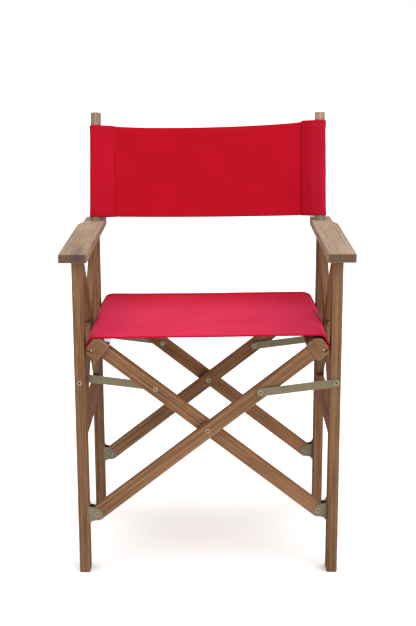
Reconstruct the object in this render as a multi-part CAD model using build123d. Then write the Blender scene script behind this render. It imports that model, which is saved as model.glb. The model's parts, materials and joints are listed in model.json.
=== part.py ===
from build123d import *
import os
from math import atan2, cos, degrees, hypot, radians, sin, sqrt

# Folding director's chair, millimetres. X runs across the seat, Y runs from front (-) to back (+), Z is up.
# The origin lies on the floor, in the middle of the chair's outer box.
# Two upright side frames are joined by a front and a rear pair of crossed bars that carry the seat rails.

# ---- driving dimensions: side frames ----
LEG_OUTER = 260.0  # outer face of the legs, from the middle of the chair
LEG_WIDTH = 20.5
LEG_DEPTH = 38.0
LEG_INNER = LEG_OUTER - LEG_WIDTH
FRONT_FACE = -217.8  # front face of the front legs
LEG_PITCH = 352.0  # from the front face of the front legs to that of the rear legs
ARM_UNDERSIDE = 641.0
ARM_THICK = 18.0
ARM_TOP = ARM_UNDERSIDE + ARM_THICK
ARM_INNER = 228.0
ARM_OUTER = 283.0
ARM_REAR_OUTER = 274.0  # the armrest is narrower at its rear end
ARM_FRONT = FRONT_FACE - 18.0
ARM_REAR = FRONT_FACE + 438.0
ARM_STEP_START = FRONT_FACE + 336.0
ARM_STEP_END = FRONT_FACE + 370.0
PANEL_INNER = 242.0  # inner face of the side rails and braces
PANEL_THICK = 15.0
SIDE_RAIL_BOTTOM = 275.0
SIDE_RAIL_TOP = 320.0
BRACE_WIDTH = 30.0
EASE = 1.6  # rounding of the long wooden edges
END_EASE = 1.0  # small chamfer round the ends of boards
TENON_CLEARANCE = 0.1
LEG_TENON_HALF_X = 5.0
LEG_TENON_HEIGHT = 10.0
LEG_TENON_Y = {"front": (10.0, 28.0), "rear": (4.0, 16.0)}
SIDE_TENON_LENGTH = 14.0
SIDE_TENON_INSET = 6.0  # from the side rail's upper and lower faces
SIDE_TENON_THICK = 9.0
ARM_RADII = [3.0, 4.0, 18.0, 18.0, 4.0, 4.0]  # corners of the armrest's outline, from the inner front one
ARM_TOP_EASE = 2.5

# ---- driving dimensions: back posts ----
POST_X = 247.5
POST_RADIUS = 11.5
POST_LEAN = 14.0  # degrees back from upright
POST_BASE_Y = FRONT_FACE + 386.0  # axis of the post where it meets the top of the armrest
POST_LENGTH = 237.0
POST_END_ROUND = 1.2
POST_TENON_RADIUS = 6.0
POST_TENON_LENGTH = 40.0

# ---- driving dimensions: crossed bars and their pivots ----
PIVOT_X = 222.0  # bracket pivots
PIVOT_Z = 125.5
CROSS_Z = 299.6  # pivot where the bars cross
BAR_WIDTH = 28.5
BAR_THICK = 16.0
BAR_INSET = 2.0  # front bar behind the leg's front face
BAR_STEP = 18.0  # from the front bar of a pair to the rear bar
LINK_PIVOT = 131.0  # from the crossing, up the bar, to the link's pivot
BAR_LENGTH_UP = 257.5  # from the crossing to the seat rail
BAR_TENON_LENGTH = 14.0
BAR_TENON_HALF = 9.0
BAR_TENON_INSET = 4.0  # from the bar's front and rear faces
RUNNING_CLEARANCE = 0.05

# ---- driving dimensions: seat rails, in the bar's own directions ----
RAIL_THICK = 33.5  # along the bar
RAIL_HALF = 20.0  # each way across the bar
RAIL_TOP_CUT = 12.0  # level cut on top, measured along the bar
RAIL_SIDE_CUT = 9.0  # upright cut outside, measured along the bar
RAIL_REAR_INSET = 7.0  # rear end of the seat rail before the back of the rear leg
KEYHOLE_RADIUS = 4.0
KEYHOLE_DEPTH = 11.5  # hole's centre inside the rail's outer face
KEYHOLE_DROP = 9.7  # hole's centre below the bar's centre line
SLOT_WIDTH = 3.0
SLOT_REACH = 20.0  # from the hole's centre, out through the rail's side
ROD_RADIUS = 2.5

# ---- driving dimensions: hardware ----
SHEET_STEEL = 1.5
FLANGE_GAP = 0.2
FLANGE_HALF = 17.0  # half the height of a bracket flange at the leg
NOSE_RADIUS = 11.5
TAB_HALF = 23.0  # half the height of the bracket's web with its tabs
SCREW_OFFSET = 19.0  # bracket screws above and below the pivot
RIVET_RADIUS = 3.5
RIVET_BORE = 2.0  # the rivets are tubular
RIVET_HEAD_RADIUS = 5.6
RIVET_HEAD = 1.3
LINK_WIDTH = 16.0
LINK_THICK = 2.0
LINK_GAP = 0.2
LINK_LEG_X = 250.4
LINK_LEG_Z = 399.6
LINK_WASHER_RIM = 1.4  # washer beyond the rivet's head
CROSS_WASHER_RIM = 2.4
WASHER_PLAY = 0.1
SCREW_SHANK = 2.0
SCREW_HEAD_RADIUS = 4.0
SCREW_HEAD_HEIGHT = 2.8
SCREW_DOME = 1.8
SCREW_RECESS = (4.4, 0.8, 1.2)  # cross recess: length, width and depth
SCREW_CLEAR_RADIUS = 2.2  # hole in the bracket
SCREW_LENGTH = 14.0
BRACE_SCREW_LENGTH = 26.0
BRACE_SCREW_DROP = 5.0  # down the rising brace, from the front corner of the crossing
BRACE_SCREW_TURN = 25.0  # degrees from square to the brace, towards the crossing
TAB_INSET = 3.0  # screw tabs narrower than the bracket's web

# ---- driving dimensions: cloth ----
SEAT_CLOTH = 1.6
SEAT_SETBACK = 6.0  # cloth behind the rail's front end
BACK_CLOTH = 1.6
SLEEVE_WALL = 1.3
SLEEVE_GAP = 0.3
SLEEVE_START = 8.0  # along the post, from the top of the armrest
SLEEVE_END = 217.0
SEAM_X = 208.0
PANEL_TOP_DROP = 4.0  # panel's upper edge below that of the sleeves
LABEL_THICK = 0.6
LABEL_BACK = 4.6  # label behind the cloth's front edge

# ---- derived ----
HALF_SPAN = hypot(PIVOT_X, CROSS_Z - PIVOT_Z)
BAR_ANGLE = atan2(CROSS_Z - PIVOT_Z, PIVOT_X)
ALONG = (cos(BAR_ANGLE), sin(BAR_ANGLE))
REAR_LEG_FACE = FRONT_FACE + LEG_PITCH
RAIL_BACK = REAR_LEG_FACE + LEG_DEPTH - RAIL_REAR_INSET
CLOTH_FRONT = FRONT_FACE + SEAT_SETBACK
CLOTH_BACK = RAIL_BACK - 0.5
BRACE_FRONT = FRONT_FACE + LEG_DEPTH
BRACE_SLOPE = atan2(ARM_UNDERSIDE - SIDE_RAIL_TOP, REAR_LEG_FACE - BRACE_FRONT)
LINK_BAR_X = LINK_PIVOT * ALONG[0]
LINK_BAR_Z = CROSS_Z + LINK_PIVOT * ALONG[1]
LEAN = radians(POST_LEAN)
SIDES = {"left": -1, "right": 1}
ENDS = {"front": 0.0, "rear": LEG_PITCH}


def block(x0, x1, y0, y1, z0, z1):
    """A box between two corners."""
    middle = Pos((x0 + x1) / 2, (y0 + y1) / 2, (z0 + z1) / 2)
    return middle * Box(abs(x1 - x0), abs(y1 - y0), abs(z1 - z0))


def rod_along_y(x, z, radius, y0, y1):
    """A round bar that runs from front to back."""
    return Pos(x, (y0 + y1) / 2, z) * Rot(90, 0, 0) * Cylinder(radius, y1 - y0)


def rod_along_x(y, z, radius, x0, x1):
    """A round bar that runs across the chair."""
    return Pos((x0 + x1) / 2, y, z) * Rot(0, 90, 0) * Cylinder(radius, x1 - x0)


def to_side(shape, side):
    """Everything on the side frames is drawn on the right and mirrored for the left."""
    return shape if side > 0 else mirror(shape, about=Plane.YZ)


def bar_point(along, across):
    """A point of the right-rising bar, given along it from the crossing and across it, as x and z."""
    x = along * ALONG[0] - across * ALONG[1]
    z = CROSS_Z + along * ALONG[1] + across * ALONG[0]
    return x, z


def bar_plane(y_back):
    """Sketch plane of the right-rising bars; an extrusion from it comes forward."""
    return Plane(origin=(0, y_back, CROSS_Z), x_dir=(ALONG[0], 0, ALONG[1]), z_dir=(0, -1, 0))


def bar_front(end, rising_right):
    """Front face of a bar: the right-rising bar of each pair is the front one."""
    return FRONT_FACE + ENDS[end] + BAR_INSET + (0.0 if rising_right else BAR_STEP)


def bracket_bar_front(end, side):
    """The left bracket holds the right-rising bar, the right bracket the other one."""
    return bar_front(end, side < 0)


def tubular_rivet(x, z, y_head, y_tail, head_at_front=True, head_at_back=True):
    """A hollow rivet along Y whose shank runs from y_head to y_tail, with heads outside."""
    rivet = rod_along_y(x, z, RIVET_RADIUS, y_head - RIVET_HEAD, y_tail + RIVET_HEAD)
    if head_at_front:
        head = rod_along_y(x, z, RIVET_HEAD_RADIUS, y_head - RIVET_HEAD, y_head)
        rivet += fillet(head.edges().filter_by(GeomType.CIRCLE).group_by(Axis.Y)[0], RIVET_HEAD * 0.7)
    else:
        rivet -= rod_along_y(x, z, RIVET_RADIUS * 2, y_head - RIVET_HEAD - 1, y_head)
    if head_at_back:
        tail = rod_along_y(x, z, RIVET_HEAD_RADIUS, y_tail, y_tail + RIVET_HEAD)
        rivet += fillet(tail.edges().filter_by(GeomType.CIRCLE).group_by(Axis.Y)[-1], RIVET_HEAD * 0.7)
    else:
        rivet -= rod_along_y(x, z, RIVET_RADIUS * 2, y_tail, y_tail + RIVET_HEAD + 1)
    return rivet - rod_along_y(x, z, RIVET_BORE, y_head - 20, y_tail + 20)


def screw(length):
    """A screw that points up, with a domed head and a cross recess, its seat at the origin."""
    head = Pos(0, 0, -SCREW_HEAD_HEIGHT / 2) * Cylinder(SCREW_HEAD_RADIUS, SCREW_HEAD_HEIGHT)
    head = fillet(head.edges().group_by(Axis.Z)[0], SCREW_DOME)
    recess_length, recess_width, recess_depth = SCREW_RECESS
    recess = Box(recess_length, recess_width, 2 * recess_depth)
    for turn in (0, 90):
        head -= Pos(0, 0, -SCREW_HEAD_HEIGHT) * Rot(0, 0, turn) * recess
    return head + screw_shank(length)


def screw_shank(length):
    return Pos(0, 0, length / 2 - 0.25) * Cylinder(SCREW_SHANK, length + 0.5)


# ---- side frame: wood ----
def post_axis_shift(length):
    """Location whose Z axis is the post's axis, moved along it from the top of the armrest."""
    return Pos(POST_X, POST_BASE_Y, ARM_TOP) * Rot(-POST_LEAN, 0, 0) * Pos(0, 0, length)


def post_tenon(radius, length):
    return post_axis_shift(-length / 2) * Cylinder(radius, length)


def link_leg_hole(end):
    y0 = FRONT_FACE + ENDS[end]
    return rod_along_y(LINK_LEG_X, LINK_LEG_Z, RIVET_RADIUS, y0 - 1, y0 + LEG_DEPTH + 1)


def leg_tenon(end, clearance):
    middle = (LEG_OUTER + LEG_INNER) / 2
    start, stop = LEG_TENON_Y[end]
    y0 = FRONT_FACE + ENDS[end]
    top = ARM_UNDERSIDE + LEG_TENON_HEIGHT + clearance
    return block(
        middle - LEG_TENON_HALF_X - clearance,
        middle + LEG_TENON_HALF_X + clearance,
        y0 + start - clearance,
        y0 + stop + clearance,
        ARM_UNDERSIDE - 1,
        top,
    )


def side_rail_tenons(clearance):
    x_middle = PANEL_INNER + PANEL_THICK / 2
    x0 = x_middle - SIDE_TENON_THICK / 2 - clearance
    x1 = x_middle + SIDE_TENON_THICK / 2 + clearance
    y0 = FRONT_FACE + LEG_DEPTH - SIDE_TENON_LENGTH - clearance
    y1 = REAR_LEG_FACE + SIDE_TENON_LENGTH + clearance
    z0 = SIDE_RAIL_BOTTOM + SIDE_TENON_INSET - clearance
    z1 = SIDE_RAIL_TOP - SIDE_TENON_INSET + clearance
    return block(x0, x1, y0, y1, z0, z1)


def leg(end):
    y0 = FRONT_FACE + ENDS[end]
    body = block(LEG_INNER, LEG_OUTER, y0, y0 + LEG_DEPTH, 0, ARM_UNDERSIDE)
    body = fillet(body.edges().filter_by(Axis.Z), EASE)
    body = chamfer(body.edges().group_by(Axis.Z)[0], END_EASE)
    body += leg_tenon(end, 0)
    body -= side_rail_tenons(TENON_CLEARANCE)
    body -= link_leg_hole(end)
    if end == "rear":
        body -= post_tenon(POST_TENON_RADIUS + TENON_CLEARANCE, POST_TENON_LENGTH + 1)
    return body


def armrest():
    corners = [
        (ARM_INNER, ARM_FRONT),
        (ARM_OUTER, ARM_FRONT),
        (ARM_OUTER, ARM_STEP_START),
        (ARM_REAR_OUTER, ARM_STEP_END),
        (ARM_REAR_OUTER, ARM_REAR),
        (ARM_INNER, ARM_REAR),
    ]
    outline = FilletPolyline(*corners, radius=ARM_RADII, close=True)
    board = extrude(Plane.XY.offset(ARM_UNDERSIDE) * make_face(outline), ARM_THICK)
    board = fillet(board.edges().group_by(Axis.Z)[-1], ARM_TOP_EASE)
    board = fillet(board.edges().group_by(Axis.Z)[0], EASE)
    for end in ENDS:
        board -= leg_tenon(end, TENON_CLEARANCE)
    return board - post_tenon(POST_TENON_RADIUS + TENON_CLEARANCE, POST_TENON_LENGTH)


def side_rail():
    y0 = FRONT_FACE + LEG_DEPTH
    outer = PANEL_INNER + PANEL_THICK
    body = block(PANEL_INNER, outer, y0, REAR_LEG_FACE, SIDE_RAIL_BOTTOM, SIDE_RAIL_TOP)
    body = fillet(body.edges().filter_by(Axis.Y), EASE)
    return body + side_rail_tenons(0)


def brace_screw_seat():
    """Location of the screw that pins the crossing, in the rising brace's upper face."""
    corner = BRACE_WIDTH / 2 / sin(2 * BRACE_SLOPE) * (1 - cos(2 * BRACE_SLOPE))
    down = corner + BRACE_SCREW_DROP
    x = PANEL_INNER + PANEL_THICK / 2
    y = (BRACE_FRONT + REAR_LEG_FACE) / 2
    z = (SIDE_RAIL_TOP + ARM_UNDERSIDE) / 2
    square_to_face = Pos(x, y, z) * Rot(degrees(BRACE_SLOPE) + 180, 0, 0)
    return square_to_face * Pos(0, down, -BRACE_WIDTH / 2) * Rot(BRACE_SCREW_TURN, 0, 0)


def brace(rises_to_rear):
    """One diagonal of the X between the legs, halved where it crosses the other one."""
    y0 = BRACE_FRONT
    y1 = REAR_LEG_FACE
    z0 = SIDE_RAIL_TOP
    z1 = ARM_UNDERSIDE
    slope = BRACE_SLOPE
    drop = BRACE_WIDTH / 2 / cos(slope)
    run = BRACE_WIDTH / 2 / sin(slope)
    points = [(y0, z0), (y0 + run, z0), (y1, z1 - drop), (y1, z1), (y1 - run, z1), (y0, z0 + drop)]
    middle_y = (y0 + y1) / 2
    if not rises_to_rear:
        points = [(2 * middle_y - y, z) for y, z in points]
    face = make_face(Polyline(*points, close=True))
    body = extrude(Plane.YZ.offset(PANEL_INNER) * face, PANEL_THICK)
    long_edges = [e for e in body.edges() if abs(e.length - max(x.length for x in body.edges())) < 0.01]
    body = fillet(long_edges, EASE)
    lean = 90 - degrees(slope)
    lap_depth = PANEL_THICK / 2 + TENON_CLEARANCE
    lap = Box(lap_depth, BRACE_WIDTH + 2 * TENON_CLEARANCE, BRACE_WIDTH * 3)
    if rises_to_rear:
        lap_x = PANEL_INNER + PANEL_THICK - PANEL_THICK / 4
        lap = Rot(lean, 0, 0) * lap
    else:
        lap_x = PANEL_INNER + PANEL_THICK / 4
        lap = Rot(-lean, 0, 0) * lap
    body -= Pos(lap_x, middle_y, (z0 + z1) / 2) * lap
    head_room = Cylinder(SCREW_HEAD_RADIUS + TENON_CLEARANCE, 2 * SCREW_HEAD_HEIGHT)
    head_room = Pos(0, 0, -SCREW_HEAD_HEIGHT) * head_room
    return body - brace_screw_seat() * (head_room + screw_shank(BRACE_SCREW_LENGTH))


def back_post():
    length = POST_LENGTH + 20
    body = post_axis_shift(POST_LENGTH - length / 2) * Cylinder(POST_RADIUS, length)
    body = fillet(body.edges().group_by(Axis.Z)[-1], POST_END_ROUND)
    body -= block(POST_X - 40, POST_X + 40, POST_BASE_Y - 60, POST_BASE_Y + 60, ARM_TOP - 60, ARM_TOP)
    return body + post_tenon(POST_TENON_RADIUS, POST_TENON_LENGTH)


# ---- side frame: hardware ----
def bracket(y_bar):
    """Folded steel bracket: a web with screw tabs on the leg and two flanges beside the bar."""
    y0 = y_bar - FLANGE_GAP - SHEET_STEEL
    y1 = y_bar + BAR_THICK + FLANGE_GAP + SHEET_STEEL
    web = block(LEG_INNER - SHEET_STEEL, LEG_INNER, y0, y1, PIVOT_Z - FLANGE_HALF, PIVOT_Z + FLANGE_HALF)
    tab_y0 = y0 + TAB_INSET
    tab_y1 = y1 - TAB_INSET
    web += block(LEG_INNER - SHEET_STEEL, LEG_INNER, tab_y0, tab_y1, PIVOT_Z - TAB_HALF, PIVOT_Z + TAB_HALF)
    reach = LEG_INNER - PIVOT_X
    spread = hypot(reach, FLANGE_HALF)
    grip = sqrt(spread**2 - NOSE_RADIUS**2)
    tangent = atan2(FLANGE_HALF, reach) + radians(90) - atan2(NOSE_RADIUS, grip)
    touch = (PIVOT_X + NOSE_RADIUS * cos(tangent), NOSE_RADIUS * sin(tangent))
    nose = (PIVOT_X - NOSE_RADIUS, 0)
    outline = [
        Line((LEG_INNER, -FLANGE_HALF), (LEG_INNER, FLANGE_HALF)),
        Line((LEG_INNER, FLANGE_HALF), touch),
        ThreePointArc(touch, nose, (touch[0], -touch[1])),
        Line((touch[0], -touch[1]), (LEG_INNER, -FLANGE_HALF)),
    ]
    face = make_face(outline)
    flanges = []
    for y_front in (y0, y1 - SHEET_STEEL):
        plane = Plane(origin=(0, y_front + SHEET_STEEL, PIVOT_Z), x_dir=(1, 0, 0), z_dir=(0, -1, 0))
        flanges.append(extrude(plane * face, SHEET_STEEL))
    body = web + flanges[0] + flanges[1]
    body -= rod_along_y(PIVOT_X, PIVOT_Z, RIVET_RADIUS, y0 - 1, y1 + 1)
    middle = (y0 + y1) / 2
    for z in (PIVOT_Z - SCREW_OFFSET, PIVOT_Z + SCREW_OFFSET):
        body -= rod_along_x(middle, z, SCREW_CLEAR_RADIUS, LEG_INNER - 5, LEG_INNER + 1)
    return body


def bracket_screw_seats(end, side):
    """Locations of the two screws of one bracket, on its web."""
    y = bracket_bar_front(end, side) + BAR_THICK / 2
    x = LEG_INNER - SHEET_STEEL
    return [Pos(x, y, PIVOT_Z + rise) * Rot(0, 90, 0) for rise in (-SCREW_OFFSET, SCREW_OFFSET)]


def bracket_screws(end, side):
    return [seat * screw(SCREW_LENGTH) for seat in bracket_screw_seats(end, side)]


def screw_pilots(end, side):
    """Pilot holes in the leg for the bracket's screws."""
    seats = bracket_screw_seats(end, side)
    return [seat * screw_shank(SCREW_LENGTH) for seat in seats]


def bracket_rivet(end, side):
    """Pivot of one crossed bar, through both flanges of its bracket."""
    y_bar = bracket_bar_front(end, side)
    y0 = y_bar - FLANGE_GAP - SHEET_STEEL
    y1 = y_bar + BAR_THICK + FLANGE_GAP + SHEET_STEEL
    return tubular_rivet(PIVOT_X, PIVOT_Z, y0, y1)


def link_planes(end, side):
    """Front and back of a link: right links lie before the legs, left links behind them."""
    y0 = FRONT_FACE + ENDS[end]
    if side > 0:
        return y0 - LINK_GAP - LINK_THICK, y0 - LINK_GAP
    return y0 + LEG_DEPTH + LINK_GAP, y0 + LEG_DEPTH + LINK_GAP + LINK_THICK


def link_leg_rivet(end, side):
    """Pivot of a link on its leg, right through leg and link."""
    y0 = FRONT_FACE + ENDS[end]
    front, back = link_planes(end, side)
    if side > 0:
        return tubular_rivet(LINK_LEG_X, LINK_LEG_Z, front - FLANGE_GAP, y0 + LEG_DEPTH)
    return tubular_rivet(LINK_LEG_X, LINK_LEG_Z, y0, back + FLANGE_GAP)


def link(end, side):
    """Flat strip with round ends between a leg and the bar that carries the far seat rail."""
    front, back = link_planes(end, side)
    length = hypot(LINK_LEG_X - LINK_BAR_X, LINK_LEG_Z - LINK_BAR_Z)
    turn = atan2(LINK_LEG_Z - LINK_BAR_Z, LINK_LEG_X - LINK_BAR_X)
    middle = ((LINK_LEG_X + LINK_BAR_X) / 2, (LINK_LEG_Z + LINK_BAR_Z) / 2)
    plane = Plane(
        origin=(middle[0], back, middle[1]),
        x_dir=(cos(turn), 0, sin(turn)),
        z_dir=(0, -1, 0),
    )
    strip = extrude(plane * SlotCenterToCenter(length, LINK_WIDTH), LINK_THICK)
    strip -= rod_along_y(LINK_LEG_X, LINK_LEG_Z, RIVET_RADIUS + RUNNING_CLEARANCE, front - 1, back + 1)
    return strip - rod_along_y(LINK_BAR_X, LINK_BAR_Z, RIVET_RADIUS, front - 1, back + 1)


def link_end_rivet(end, side):
    """The formed end of the link-to-bar rivet, on the link's outer face."""
    front, back = link_planes(end, side)
    if side > 0:
        return tubular_rivet(LINK_BAR_X, LINK_BAR_Z, front, back, head_at_back=False)
    return tubular_rivet(LINK_BAR_X, LINK_BAR_Z, front, back, head_at_front=False)


def link_bar_rivet(end, side):
    """The rest of the link-to-bar rivet: its shank in the bar and its far head."""
    y0 = bar_front(end, side > 0)
    if side > 0:
        return tubular_rivet(LINK_BAR_X, LINK_BAR_Z, y0, y0 + BAR_THICK, head_at_front=False)
    return tubular_rivet(LINK_BAR_X, LINK_BAR_Z, y0, y0 + BAR_THICK, head_at_back=False)


def link_washer(end, side):
    """Spacer between a bar and its link."""
    y0 = bar_front(end, side > 0)
    front, back = link_planes(end, side)
    if side > 0:
        span = (back + WASHER_PLAY, y0)
    else:
        span = (y0 + BAR_THICK, front - WASHER_PLAY)
    ring = rod_along_y(LINK_BAR_X, LINK_BAR_Z, RIVET_HEAD_RADIUS + LINK_WASHER_RIM, *span)
    return ring - rod_along_y(LINK_BAR_X, LINK_BAR_Z, RIVET_RADIUS, span[0] - 1, span[1] + 1)


# ---- crossed bars, drawn rising to the right ----
def bar_tenon(y0, clearance):
    """Tenon of a bar in its seat rail."""
    back = y0 + BAR_THICK - BAR_TENON_INSET + clearance
    thick = BAR_THICK - 2 * BAR_TENON_INSET + 2 * clearance
    length = BAR_TENON_LENGTH + 1 + clearance
    middle = BAR_LENGTH_UP - 1 + length / 2
    sketch = bar_plane(back) * Pos(middle, 0) * Rectangle(length, 2 * BAR_TENON_HALF + 2 * clearance)
    return extrude(sketch, thick)


def bar(end, rising_right):
    """One crossed bar, rounded at its bracket end and tenoned into the seat rail."""
    y0 = bar_front(end, rising_right)
    half = BAR_WIDTH / 2
    outline = [
        Line((-HALF_SPAN, half), (BAR_LENGTH_UP, half)),
        Line((BAR_LENGTH_UP, half), (BAR_LENGTH_UP, -half)),
        Line((BAR_LENGTH_UP, -half), (-HALF_SPAN, -half)),
        ThreePointArc((-HALF_SPAN, -half), (-HALF_SPAN - half, 0), (-HALF_SPAN, half)),
    ]
    body = extrude(bar_plane(y0 + BAR_THICK) * make_face(outline), BAR_THICK)
    long_edges = [e for e in body.edges() if abs(e.length - HALF_SPAN - BAR_LENGTH_UP) < 0.01]
    body = fillet(long_edges, EASE)
    body += bar_tenon(y0, 0)
    holes = [
        (-HALF_SPAN, RIVET_RADIUS + RUNNING_CLEARANCE),
        (0.0, RIVET_RADIUS + (0 if rising_right else RUNNING_CLEARANCE)),
        (LINK_PIVOT, RIVET_RADIUS),
    ]
    for along, radius in holes:
        x, z = bar_point(along, 0)
        body -= rod_along_y(x, z, radius, y0 - 1, y0 + BAR_THICK + 1)
    return body if rising_right else mirror(body, about=Plane.YZ)


def rail_corner(along, across):
    """Rail outline point in the bar's directions; along counts from the rail's inner face."""
    return BAR_LENGTH_UP + along, across


def keyhole_centre():
    return rail_corner(RAIL_THICK - KEYHOLE_DEPTH, -KEYHOLE_DROP)


def rail_outline():
    """Seat rail section: a block with a level cut on top and an upright cut outside."""
    slope = ALONG[1] / ALONG[0]
    return [
        rail_corner(0, -RAIL_HALF),
        rail_corner(0, RAIL_HALF),
        rail_corner(RAIL_THICK - RAIL_TOP_CUT, RAIL_HALF),
        rail_corner(RAIL_THICK, RAIL_HALF - RAIL_TOP_CUT * slope),
        rail_corner(RAIL_THICK, -RAIL_HALF + RAIL_SIDE_CUT / slope),
        rail_corner(RAIL_THICK - RAIL_SIDE_CUT, -RAIL_HALF),
    ]


def seat_rail(rising_right):
    """Seat rail along the whole depth, with a keyhole groove for the cloth and its rod."""
    length = RAIL_BACK - FRONT_FACE
    body = extrude(bar_plane(RAIL_BACK) * make_face(Polyline(*rail_outline(), close=True)), length)
    body = fillet(body.edges().filter_by(Axis.Y), EASE)
    ends = body.edges().group_by(Axis.Y)
    body = chamfer(ends[0] + ends[-1], END_EASE)
    hole = Pos(*keyhole_centre()) * Circle(KEYHOLE_RADIUS)
    outward = Pos(*keyhole_centre()) * Rot(0, 0, -degrees(BAR_ANGLE))
    slot = outward * Pos(SLOT_REACH / 2, 0) * Rectangle(SLOT_REACH, SLOT_WIDTH)
    body -= extrude(bar_plane(RAIL_BACK + 1) * (hole + slot), length + 2)
    for end in ENDS:
        body -= bar_tenon(bar_front(end, rising_right), TENON_CLEARANCE)
    return body if rising_right else mirror(body, about=Plane.YZ)


def seat_rod(side):
    """Round rod that locks the seat cloth's hem in the keyhole groove."""
    x, z = bar_point(*keyhole_centre())
    rod = rod_along_y(x, z, ROD_RADIUS, FRONT_FACE + SEAT_SETBACK - 2, RAIL_BACK - 2)
    return to_side(rod, side)


def cross_rivet(end):
    """Pivot of one crossed pair, through both bars."""
    y0 = bar_front(end, True)
    return tubular_rivet(0, CROSS_Z, y0, y0 + BAR_STEP + BAR_THICK + WASHER_PLAY)


def cross_washer(end):
    y0 = bar_front(end, True) + BAR_THICK
    y1 = y0 + BAR_STEP - BAR_THICK - WASHER_PLAY
    ring = rod_along_y(0, CROSS_Z, RIVET_HEAD_RADIUS + CROSS_WASHER_RIM, y0, y1)
    return ring - rod_along_y(0, CROSS_Z, RIVET_RADIUS, y0 - 1, y0 + BAR_STEP)


# ---- cloth ----
def seat_sling():
    """One cloth over both rails, down their outer faces and round the rods in the grooves."""
    gap = SEAT_CLOTH / 2 + 0.35
    hole_x, hole_z = bar_point(*keyhole_centre())
    wrap = ROD_RADIUS + 0.2 + 0.5
    outline = rail_outline()
    top_x, top_z = bar_point(*outline[3])
    side_x, side_z = bar_point(*outline[4])
    slant = atan2(top_z - side_z, side_x - top_x)
    corner_top = (top_x + gap * sin(slant) * 0.55, top_z + gap)
    corner_side = (side_x + gap, side_z + gap * cos(slant) * 0.55)
    right = [(hole_x + wrap, hole_z), (corner_side[0], hole_z), corner_side, corner_top]
    left = [(-x, z) for x, z in right[::-1]]
    ribbon = trace(Polyline(*right, *left), SEAT_CLOTH)
    for x in (hole_x, -hole_x):
        ribbon += Pos(x, hole_z) * (Circle(wrap + 0.5) - Circle(wrap - 0.5))
    plane = Plane(origin=(0, CLOTH_BACK, 0), x_dir=(1, 0, 0), z_dir=(0, -1, 0))
    return extrude(plane * ribbon, CLOTH_BACK - CLOTH_FRONT)


def back_plane(length):
    """Plane square to the posts at a distance along them; its Y runs forward along the floor's Y."""
    y = POST_BASE_Y + length * sin(LEAN)
    z = ARM_TOP + length * cos(LEAN)
    return Plane(origin=(0, y, z), x_dir=(1, 0, 0), z_dir=(0, sin(LEAN), cos(LEAN)))


def back_sleeve(side):
    """Sewn sleeve round one post, drawn in to the seam beside the back panel."""
    outer = POST_RADIUS + SLEEVE_GAP + SLEEVE_WALL
    reach = POST_X - SEAM_X
    tangent = radians(180) - (radians(90) - atan2(outer, sqrt(reach**2 - outer**2)))
    touch = (POST_X + outer * cos(tangent), outer * sin(tangent))
    half = BACK_CLOTH / 2
    outline = [
        Line((SEAM_X, -half), (SEAM_X, half)),
        Line((SEAM_X, half), touch),
        ThreePointArc(touch, (POST_X + outer, 0), (touch[0], -touch[1])),
        Line((touch[0], -touch[1]), (SEAM_X, -half)),
    ]
    section = make_face(outline) - Pos(POST_X, 0) * Circle(POST_RADIUS + SLEEVE_GAP)
    return to_side(extrude(back_plane(SLEEVE_START) * section, SLEEVE_END - SLEEVE_START), side)


def back_panel():
    section = Rectangle(2 * SEAM_X - 0.6, BACK_CLOTH)
    return extrude(back_plane(SLEEVE_START) * section, SLEEVE_END - SLEEVE_START - PANEL_TOP_DROP)


def care_label():
    """Small blank label that hangs from the seat's hem beside the left rail's sloping face."""
    face_bottom = bar_point(0 + BAR_LENGTH_UP, RAIL_HALF)
    face_top = bar_point(*rail_outline()[2])
    top = face_top[1] + 0.2
    bottom = face_bottom[1] + 3.0
    slope = (face_top[0] - face_bottom[0]) / (face_top[1] - face_bottom[1])
    outer_top = face_top[0] - 3.0
    outer_bottom = face_bottom[0] + 3.0 * slope - 2.0
    inner = face_bottom[0] - 6.0
    points = [(-outer_top, top), (-inner, top), (-inner, bottom), (-outer_bottom, bottom)]
    plane = Plane(origin=(0, CLOTH_FRONT + LABEL_BACK, 0), x_dir=(1, 0, 0), z_dir=(0, -1, 0))
    return extrude(plane * make_face(Polyline(*points, close=True)), LABEL_THICK)


# ---- build ----
os.makedirs("parts", exist_ok=True)


def save(name, *solids):
    shape = solids[0] if len(solids) == 1 else Compound(children=list(solids))
    export_step(shape, f"parts/{name}.step")


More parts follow.
